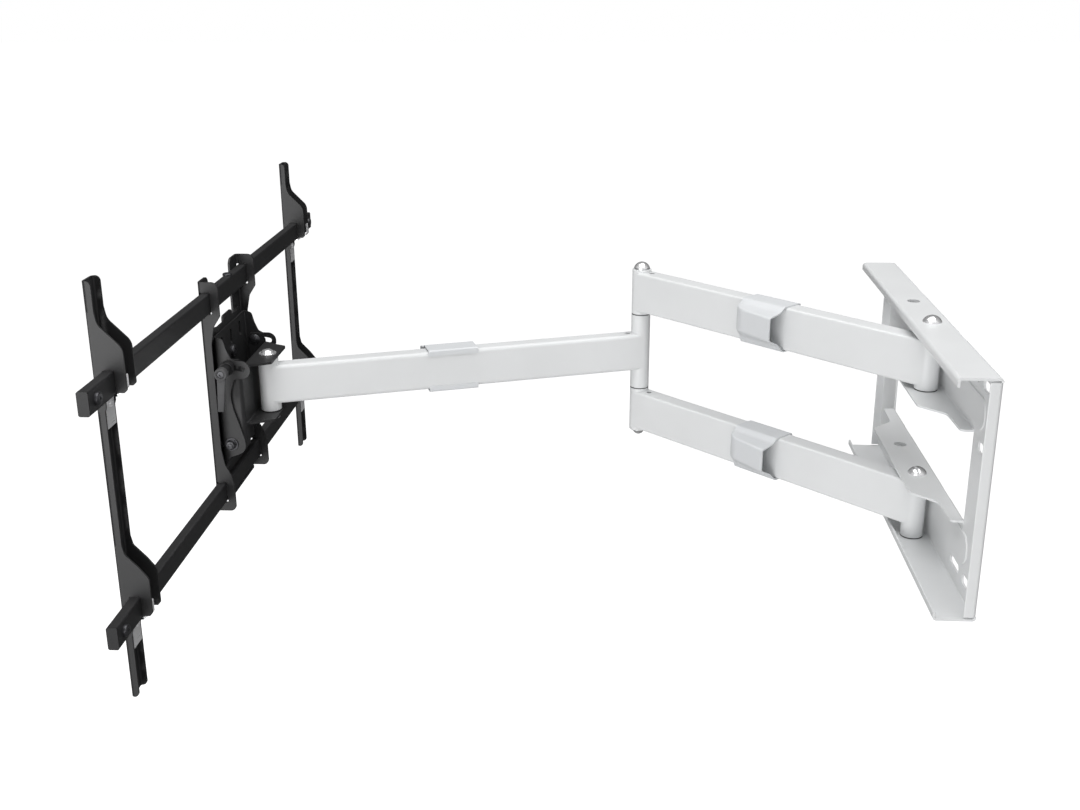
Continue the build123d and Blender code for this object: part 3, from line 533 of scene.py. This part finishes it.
OPENING = 0.0408
slot_size = Matrix.Diagonal((0.2, 0.004, OPENING, 1))
slot_spot = Matrix.Translation((0, -TUBE_W / 2 - 0.001, 0))
back_slot = bmesh.new()
bmesh.ops.create_cube(back_slot, size=1, matrix=slot_spot @ slot_size)
strip = carved(carved(clip_hood(0), clip_hood(CLIP_T)), back_slot)
rear_spot = clip_place(wall_axis, (elbow_axis - wall_axis) * REAR_SHARE)
front_spot = clip_place(head_axis, (elbow_axis - head_axis) * FRONT_SHARE)
for name, spot, height, body in (
    ("cable_clip_upper", rear_spot, REAR_Z, "rear_arms"),
    ("cable_clip_lower", rear_spot, -REAR_Z, "rear_arms"),
    ("cable_clip_front", front_spot, 0, "front_arm"),
):
    form = strip.copy()
    bmesh.ops.transform(form, matrix=Matrix.Translation((0, 0, height)) @ spot, verts=form.verts)
    even(piece("dressed_" + name, [form], white_plastic, body, "white_plastic", name))
strip.free()

# Yoke: 3 mm steel pressed round the head sleeve, with cheeks for the tilt bracket, powder
# coated black. The chromed head bolt goes through its flanges, a zinc plated nut below.


def thread(radius, pitch, length):
    # V thread wound up from height zero, cut flat at both ends.
    root = radius - 0.6 * pitch
    mesh = bmesh.new()
    steps = 28
    turns = math.ceil(length / pitch) + 2
    line = ((root, 0), (root, 0.1), (radius, 0.5), (radius, 0.6), (root, 1))
    corners = [mesh.verts.new((r, 0, (h - 1) * pitch)) for r, h in line]
    edges = [mesh.edges.new(pair) for pair in zip(corners, corners[1:])]
    bmesh.ops.spin(
        mesh, geom=corners + edges, cent=(0, 0, 0), axis=(0, 0, 1), dvec=(0, 0, pitch / steps),
        angle=math.tau * turns, steps=steps * turns,
    )
    bmesh.ops.remove_doubles(mesh, verts=mesh.verts, dist=1e-6)
    for height, up in ((0, -1), (length, 1)):
        cut = bmesh.ops.bisect_plane(
            mesh, geom=mesh.verts[:] + mesh.edges[:] + mesh.faces[:], dist=1e-7,
            plane_co=(0, 0, height), plane_no=(0, 0, up), clear_outer=True,
        )
        rim = [part for part in cut["geom_cut"] if isinstance(part, bmesh.types.BMEdge)]
        bmesh.ops.contextual_create(mesh, geom=rim)
    bmesh.ops.recalc_face_normals(mesh, faces=mesh.faces)
    return mesh


black_coat = coated("Black powder coat", (0.018, 0.018, 0.019), 0.42, 0.12, 0.03, 0.55)
finish_node("yoke", black_coat, 0.0004)
centre, low, high = middle("head_bolt")
SMALL_DOME = DOME_H - 0.0015
BRIM_R, BRIM_H = DOME_R + 0.0004, 0.0013
THREAD_L, THREAD_PITCH = 0.014, 0.00175
seat = high.z - SMALL_DOME
stop = low.z - seat + THREAD_L
line = dome_line(DOME_R - 0.0018, SMALL_DOME, 0.0016)[:-1]
line += [(DOME_R - 0.0016, BRIM_H), (BRIM_R - 0.0003, BRIM_H), (BRIM_R, BRIM_H - 0.0003), (BRIM_R, 0)]
upper = turned(line + [(BOLT_R, 0), (BOLT_R, stop), (0, stop)])
wound = thread(BOLT_R, THREAD_PITCH, THREAD_L)
forms = [placed(upper, (centre.x, centre.y, seat)), placed(wound, (centre.x, centre.y, low.z))]
piece("head_bolt_dressed", forms, chrome, "head", "chrome", "head_bolt")
centre, low, high = middle("head_nut")
nut = hexagon(NUT_ACROSS, 0, high.z - low.z, BOLT_R)
piece("head_nut_dressed", [placed(nut, (centre.x, centre.y, low.z))], zinc, "head", "zinc", "head_nut")

# Tilt joint: pivot bolts low down, clamp bolts through the arc slots and friction washers
# between the cheeks. A nut closes the far side, a boss with a hanging lever the near side.


def hex_key(across, depth):
    # Cutter for a six-sided socket, its mouth at height zero.
    corner = across / math.sqrt(3)
    tool = bmesh.new()
    bmesh.ops.create_cone(
        tool, cap_ends=True, segments=6, radius1=corner, radius2=corner, depth=2 * depth,
        matrix=Matrix.Rotation(math.tau / 12, 4, "Z"),
    )
    return tool


def cross_key(reach, depth):
    # Tapered cross cutter, its mouth at height zero.
    tool = bmesh.new()
    for turn in (0, math.tau / 4):
        size = Matrix.Diagonal((2 * reach, reach * 0.45, 2 * depth, 1))
        made = bmesh.ops.create_cube(tool, size=1, matrix=size)["verts"]
        tips = [corner for corner in made if corner.co.z < 0]
        bmesh.ops.scale(tool, verts=tips, vec=(0.35, 0.55, 1))
        bmesh.ops.rotate(tool, verts=made, cent=(0, 0, 0), matrix=Matrix.Rotation(turn, 3, "Z"))
    return tool


def pan_head(radius, height, rounding, key):
    # Pan head standing on height zero, with its drive recess.
    turns = [math.tau / 4 * k / 6 for k in range(7)]
    across, up = radius - rounding, height - rounding
    line = [(0, height)]
    line += [(across + rounding * math.sin(t), up + rounding * math.cos(t)) for t in turns]
    line += [(radius, 0), (0, 0)]
    return carved(turned(line, 48), placed(key, (0, 0, height)))


WASHER_R, WASHER_T = 0.0084, 0.0016
RIM_EASE = 0.0004


def washer(bore):
    # Round washer with eased rims, standing on height zero.
    face = WASHER_R - RIM_EASE
    rim = [(face, 0), (WASHER_R, RIM_EASE), (WASHER_R, WASHER_T - RIM_EASE), (face, WASHER_T)]
    return turned([(bore, 0)] + rim + [(bore, WASHER_T)])


black_plate = plated("Black plated steel", (0.06, 0.06, 0.065), 0.3, 0.6)
centre, low, high = middle("tilt_pivot_bolts")
HEAD_X = centre.x
TILT_IN, TILT_OUT = 0.0572, 0.0642
PIVOT_R, PIVOT_ACROSS, PIVOT_HEAD = 0.003, 0.010, 0.0053
PLAIN, PIVOT_PITCH = 0.007, 0.001
end = high.x - HEAD_X - TILT_IN - PLAIN
bolts, nuts = [], []
for side in (-1, 1):
    outward = (side, 0, 0)
    spots = [(HEAD_X + side * out, centre.y, centre.z) for out in (TILT_IN, TILT_IN + PLAIN, TILT_OUT)]
    seat, step, face = spots
    bolts.append(placed(hexagon(PIVOT_ACROSS, -PIVOT_HEAD, 0), seat, outward))
    bolts.append(placed(turned([(PIVOT_R, 0), (PIVOT_R, PLAIN), (0, PLAIN)], 32), seat, outward))
    bolts.append(placed(thread(PIVOT_R, PIVOT_PITCH, end), step, outward))
    line = [(PIVOT_R, WASHER_T), (0.0062, WASHER_T), (0.0062, 0.0022), (0.0055, 0.0030), (PIVOT_R, 0.0030)]
    nut = hexagon(PIVOT_ACROSS, WASHER_T, 0.0075, PIVOT_R)
    nuts += [placed(form, face, outward) for form in (washer(PIVOT_R), turned(line), nut)]
piece("tilt_pivot_bolts_dressed", bolts, black_plate, "head", "black_steel", "tilt_pivot_bolts")
piece("tilt_pivot_nuts_dressed", nuts, black_plate, "head", "black_steel", "tilt_pivot_nuts")

finish_node("friction_washers", black_plastic, 0.0002)
for name in ("clamp_bolt_near", "clamp_bolt_far"):
    finish_node(name, black_plate, 0.0001)

centre, low, high = middle("lock_nut")
STUD_R, STUD_ACROSS = 0.00325, 0.010
nut = hexagon(STUD_ACROSS, WASHER_T, 0.008, STUD_R)
forms = [placed(form, (high.x, centre.y, centre.z), (-1, 0, 0)) for form in (washer(STUD_R), nut)]
piece("lock_nut_dressed", forms, black_plate, "head", "black_steel", "lock_nut")

centre, low, high = middle("clamp_boss")
BOSS_R, NECK_R, GROOVE_R = 0.0084, 0.0062, 0.0056
FIRST_RIB, RIB_STEP = 0.0104, 0.0028
line = [
    (STUD_R, 0), (0.0080, 0), (BOSS_R, 0.0004), (BOSS_R, 0.0026), (0.0076, 0.0030), (0.0076, 0.0042),
    (BOSS_R, 0.0046), (BOSS_R, 0.0086), (0.0080, 0.0090), (NECK_R, 0.0090),
]
for rib in range(4):
    start = FIRST_RIB + rib * RIB_STEP
    line += [(NECK_R, start), (GROOVE_R, start + 0.0003)]
    line += [(GROOVE_R, start + 0.0011), (NECK_R, start + 0.0014)]
line += [(NECK_R, high.x - low.x), (STUD_R, high.x - low.x)]
boss = placed(turned(line), (low.x, centre.y, centre.z), (1, 0, 0))
piece("clamp_boss_dressed", [boss], black_plastic, "head", "black_plastic", "clamp_boss")

lever_plastic = coated("Lever plastic", (0.075, 0.075, 0.078), 0.45, 0.1, 0.1)
centre, low, high = middle("lever_screw")
hub = Vector((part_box("clamp_lever")[0].x, centre.y, centre.z))
KNOB_R, KNOB_H = 0.0075, 0.0090
line = [(0.0033, 0), (0.0068, 0), (KNOB_R, 0.0007), (KNOB_R, 0.0084), (0.0069, KNOB_H), (0.0058, KNOB_H)]
line += [(0.0055, 0.0086), (0.0050, 0.0086), (0.0047, KNOB_H), (0.0042, 0.0088), (0.0042, 0.0060)]
knob = placed(turned(line + [(0.0033, 0.0060)]), hub, (1, 0, 0))
BLADE = 0.006, 0.0098, 0.0405
BLADE_AT = Vector((0.0045, -0.0001, -0.02625))
TIP_SHARE, TIP_SHIFT, BLADE_EASE = 0.735, -0.0034, 0.0006
GROOVE = 0.0009, 0.02, 0.0006
GROOVE_DROPS = 0.009, 0.025
blade = bmesh.new()
made = bmesh.ops.create_cube(blade, size=1, matrix=Matrix.Diagonal((*BLADE, 1)))["verts"]
bmesh.ops.translate(blade, verts=made, vec=hub + BLADE_AT)
tip = [corner for corner in made if corner.co.z < hub.z + BLADE_AT.z]
bmesh.ops.scale(blade, verts=tip, vec=(1, TIP_SHARE, 1), space=Matrix.Translation(-hub))
bmesh.ops.translate(blade, verts=tip, vec=(0, TIP_SHIFT, 0))
bmesh.ops.bevel(
    blade, geom=blade.edges[:], offset=BLADE_EASE, segments=3, profile=0.5, affect="EDGES", material=-1
)
grooves = bmesh.new()
for drop in GROOVE_DROPS:
    spot = Matrix.Translation(hub + Vector((0.0076, -0.002, -drop)))
    bmesh.ops.create_cube(grooves, size=1, matrix=spot @ Matrix.Diagonal((*GROOVE, 1)))
blade = carved(blade, grooves)
piece("clamp_lever_dressed", [knob, blade], lever_plastic, "lever", "black_plastic", "clamp_lever")
screw = pan_head(0.0041, 0.0020, 0.0005, hex_key(0.0035, 0.0012))
placed(screw, (low.x, centre.y, centre.z), (1, 0, 0))
piece("lever_screw_dressed", [screw], black_plate, "lever", "black_steel", "lever_screw")

# Tilt bracket and levelling plate: pressed steel, powder coated black, bolted behind the
# yoke with a socket bolt in the middle and a screw near each corner.

for name in ("tilt_bracket", "levelling_plate"):
    finish_node(name, black_coat, 0.0004)
centre, low, high = middle("levelling_bolt")
BUTTON_R, BUTTON_H = 0.0075, 0.0045
STEM_R, STEM_L = 0.004, 0.006
button = pan_head(BUTTON_R, BUTTON_H, 0.0030, hex_key(0.005, 0.0028))
stem = turned([(0, -STEM_L), (STEM_R, -STEM_L), (STEM_R, 0), (0, 0)], 32)
forms = [placed(form, (centre.x, high.y - BUTTON_H, centre.z), (0, 1, 0)) for form in (button, stem)]
nut = hexagon(0.011, 0, 0.0032, 0.0035)
forms.append(placed(nut, (centre.x, low.y, centre.z), (0, 1, 0)))
piece("levelling_bolt_dressed", forms, black_plate, "screen_frame", "black_steel", "levelling_bolt")

centre, low, high = middle("frame_screws")
FRAME_HEAD_R, FRAME_HEAD_H = 0.0055, 0.0026
FRAME_NUT_H, FRAME_THREAD_R = 0.0030, 0.003
forms = []
for x in (low.x + FRAME_HEAD_R, high.x - FRAME_HEAD_R):
    for z in (low.z + FRAME_HEAD_R, high.z - FRAME_HEAD_R):
        seat = (x, low.y + FRAME_HEAD_H, z)
        cap = pan_head(FRAME_HEAD_R, FRAME_HEAD_H, 0.0014, cross_key(0.0024, 0.0016))
        forms.append(placed(cap, seat, (0, -1, 0)))
        nut = hexagon(0.010, 0, FRAME_NUT_H, 0.0026)
        forms.append(placed(nut, (x, high.y - FRAME_NUT_H, z), (0, 1, 0)))
        wound = thread(FRAME_THREAD_R, 0.001, high.y - low.y - FRAME_HEAD_H)
        forms.append(placed(wound, seat, (0, 1, 0)))
piece("frame_screws_dressed", forms, black_plate, "screen_frame", "black_steel", "frame_screws")

# Screen frame: two folded centre brackets with two rolled rails pushed through them, closed
# by plastic caps. Pan head screws stop the brackets near the rails' ends.

for name in ("centre_bracket_near", "centre_bracket_far", "rail_upper", "rail_lower", "rail_clamp_plate"):
    finish_node(name, black_coat, 0.0004)
finish_node("rail_end_caps", black_plastic, 0.0007)

centre, low, high = middle("stop_screws")
STOP_R, STOP_H = 0.0063, 0.004
forms = []
for x in (low.x + STOP_R, high.x - STOP_R):
    for z in (low.z + STOP_R, high.z - STOP_R):
        cap = pan_head(STOP_R, STOP_H, 0.0018, cross_key(0.0032, 0.0024))
        forms.append(placed(cap, (x, high.y - STOP_H, z), (0, 1, 0)))
piece("stop_screws_dressed", forms, black_plate, "screen_frame", "black_steel", "stop_screws")

centre, low, high = middle("rail_lock_screws")
RAIL_TOP = 0.1335
WIDE_R, NARROW_R = 0.006, 0.0032
forms = []
for x, radius, height in ((low.x + WIDE_R, WIDE_R, 0.003), (high.x - NARROW_R, NARROW_R, 0.0018)):
    cap = pan_head(radius, height, height * 0.5, cross_key(radius * 0.5, height * 0.6))
    forms.append(placed(cap, (x, centre.y, RAIL_TOP)))
piece("rail_lock_screws_dressed", forms, black_plate, "screen_frame", "black_steel", "rail_lock_screws")

# Screen brackets: folded channels with hooks that hang on the rails, and zinc plated locking
# clips with a cross head screw below each hook.

# A lighter, less metallic copy of the zinc plate for the locking clips and their screws. This is painted
# light: they stand lit, while the zinc nuts stand in shade.
lit_zinc_copy = plated("Zinc plate lit copy", (0.86, 0.86, 0.87), 0.3, 0.45)
FACE, FRONT = -0.84837, -0.83587
CLIP_PLATE_T, CLIP_DROP = 0.002, 0.036
LEG_W = 0.004
CLIP_FEET = 0.036, 0.274


def locking_clip(left, right, back, low, side):
    # Plate on the channel, folded under the rail, with a narrow ramped leg at its outer side.
    under, foot = low - CLIP_PLATE_T, low - CLIP_DROP
    plate = [
        (FACE, foot), (FACE - CLIP_PLATE_T, foot), (FACE - CLIP_PLATE_T, low), (FRONT + 0.0005, low),
        (FRONT + 0.0005, under), (FACE, under),
    ]
    leg = [
        (FRONT - 0.004, under), (FRONT - 0.004, low), (FRONT, low), (FRONT + 0.0092, low + 0.0078),
        (FRONT + 0.0092, low + 0.020), (FRONT + 0.0112, low + 0.020), (FRONT + 0.0112, low + 0.0069),
        (FRONT + 0.0006, under),
    ]
    strip = (right - LEG_W, right) if side > 0 else (left, left + LEG_W)
    spacer = bmesh.new()
    size = Matrix.Diagonal((0.010, FACE - 0.001 - back, 0.012, 1))
    spot = Matrix.Translation(((left + right) / 2, (FACE - 0.001 + back) / 2, low - 0.012))
    bmesh.ops.create_cube(spacer, size=1, matrix=spot @ size)
    return [prism(plate, (left, right), 0.0006, 0, ALONG_X), prism(leg, strip, 0.0006, 0, ALONG_X), spacer]


LOCK_HEAD_R, LOCK_HEAD_H, LOCK_STEM_R = 0.0038, 0.0026, 0.0025
for side in ("near", "far"):
    finish_node("screen_bracket_" + side, black_coat, 0.0004)
    centre, low, high = middle("locking_clips_" + side)
    forms = []
    for foot in CLIP_FEET:
        forms += locking_clip(low.x, high.x, low.y, low.z + foot, centre.x - HEAD_X)
    name, body = "locking_clips_" + side, "bracket_" + side
    piece("locking_clips_dressed_" + side, forms, lit_zinc_copy, body, "zinc", name)
    name = "locking_screws_" + side
    centre, low, high = middle(name)
    end = low.y - high.y + LOCK_HEAD_H
    forms = []
    for z in (low.z + LOCK_HEAD_R, high.z - LOCK_HEAD_R):
        cap = pan_head(LOCK_HEAD_R, LOCK_HEAD_H, 0.0013, cross_key(0.0020, 0.0016))
        stem = turned([(0, end), (LOCK_STEM_R, end), (LOCK_STEM_R, 0), (0, 0)], 24)
        seat = (centre.x, high.y - LOCK_HEAD_H, z)
        forms += [placed(form, seat, (0, 1, 0)) for form in (cap, stem)]
    piece("locking_screws_dressed_" + side, forms, lit_zinc_copy, body, "zinc", name)

# Floor: a plain pale studio floor well below the arm. It is white to the camera and keeps a soft shadow.
# To reflections it is dark grey, a painted shade, so that dark parts mirror less light.

grid = bmesh.new()
FLOOR_HALF, FLOOR_Z = 30, -1.25
bmesh.ops.create_grid(grid, x_segments=1, y_segments=1, size=FLOOR_HALF)
bmesh.ops.translate(grid, verts=grid.verts, vec=(0, 0, FLOOR_Z))
floor_mesh = bpy.data.meshes.new("Studio floor")
grid.to_mesh(floor_mesh)
grid.free()
floor = bpy.data.objects.new("studio_floor", floor_mesh)
bpy.context.scene.collection.objects.link(floor)
pale = bpy.data.materials.new("Pale floor")
pale.use_nodes = True
nodes, link = pale.node_tree.nodes, pale.node_tree.links.new
shader = nodes["Principled BSDF"]
shader.inputs["Roughness"].default_value = 0.9
shader.inputs["Specular IOR Level"].default_value = 0
shader.inputs["Emission Color"].default_value = (1, 1, 1, 1)
path = nodes.new("ShaderNodeLightPath")
# Dark grey base colour for reflected rays only: painted shade in the floor's reflections.
tone = nodes.new("ShaderNodeMix")
tone.data_type = "RGBA"
tone.inputs[6].default_value = (0.8, 0.8, 0.8, 1)
tone.inputs[7].default_value = (0.12, 0.12, 0.12, 1)
link(path.outputs["Is Glossy Ray"], tone.inputs["Factor"])
link(tone.outputs[2], shader.inputs["Base Color"])
lift = nodes.new("ShaderNodeMath")
lift.operation = "MULTIPLY"
lift.inputs[1].default_value = 0.75
link(path.outputs["Is Camera Ray"], lift.inputs[0])
link(lift.outputs[0], shader.inputs["Emission Strength"])
floor_mesh.materials.append(pale)

# Studio: an even pale surround, dark to reflections on the far side, with a large soft lamp
# above and a low one beside the camera.

world = bpy.data.worlds.new("Studio")
bpy.context.scene.world = world
world.use_nodes = True
nodes, link = world.node_tree.nodes, world.node_tree.links.new
sky = nodes["Background"]
sky.inputs["Color"].default_value = (1, 1, 1, 1)
path = nodes.new("ShaderNodeLightPath")
clear = nodes.new("ShaderNodeMath")
clear.operation = "MAXIMUM"
link(path.outputs["Is Camera Ray"], clear.inputs[0])
link(path.outputs["Is Transmission Ray"], clear.inputs[1])
where = nodes.new("ShaderNodeTexCoord")
split = nodes.new("ShaderNodeSeparateXYZ")
link(where.outputs["Generated"], split.inputs[0])
side = nodes.new("ShaderNodeMapRange")
side.interpolation_type = "SMOOTHSTEP"
side.inputs["From Min"].default_value = -0.7
side.inputs["From Max"].default_value = 0.9
side.inputs["To Min"].default_value = 0.03
side.inputs["To Max"].default_value = 0.9
link(split.outputs["X"], side.inputs["Value"])
soft = nodes.new("ShaderNodeMix")
soft.inputs["A"].default_value = 0.35
link(path.outputs["Is Glossy Ray"], soft.inputs["Factor"])
link(side.outputs["Result"], soft.inputs["B"])
level = nodes.new("ShaderNodeMix")
level.inputs["B"].default_value = 1.0
link(clear.outputs[0], level.inputs["Factor"])
link(soft.outputs["Result"], level.inputs["A"])
link(level.outputs["Result"], sky.inputs["Strength"])


def lamp(name, place, aim, size, power):
    # Large flat lamp that looks from its place toward a point.
    light = bpy.data.lights.new(name, "AREA")
    light.shape = "RECTANGLE"
    light.size, light.size_y = size
    light.energy = power
    holder = bpy.data.objects.new(name, light)
    holder.location = place
    holder.rotation_euler = (Vector(aim) - Vector(place)).to_track_quat("-Z", "Y").to_euler()
    bpy.context.scene.collection.objects.link(holder)


lamp("Top lamp", (0.2, -0.35, 2.3), (-0.1, -0.4, 0), (2.6, 2.6), 62)
lamp("Front lamp", (2.9, -1.65, -0.3), (-0.1, -0.6, 0), (2.1, 1.5), 53)

# Camera: at the photograph's place, beside the wall plate and above the arm. Its lens, place
# and turn come from the corners of the arm as they stand in the photograph.

eye = bpy.data.cameras.new("Camera")
eye.lens = 42.64
eye.sensor_width = 36
eye.sensor_fit = "HORIZONTAL"
eye.clip_start, eye.clip_end = 0.05, 100
camera = bpy.data.objects.new("Camera", eye)
right = Vector((-0.05678, 0.99839, -0.00330))
up = Vector((-0.32506, -0.01536, 0.94557))
back = Vector((0.94398, 0.05476, 0.32541))
turn = Matrix((right, up, back)).transposed()
camera.matrix_world = Matrix.Translation((1.4059, -0.3678, 0.4943)) @ turn.to_4x4()
bpy.context.scene.collection.objects.link(camera)
bpy.context.scene.camera = camera
bpy.context.scene.view_settings.view_transform = "Standard"
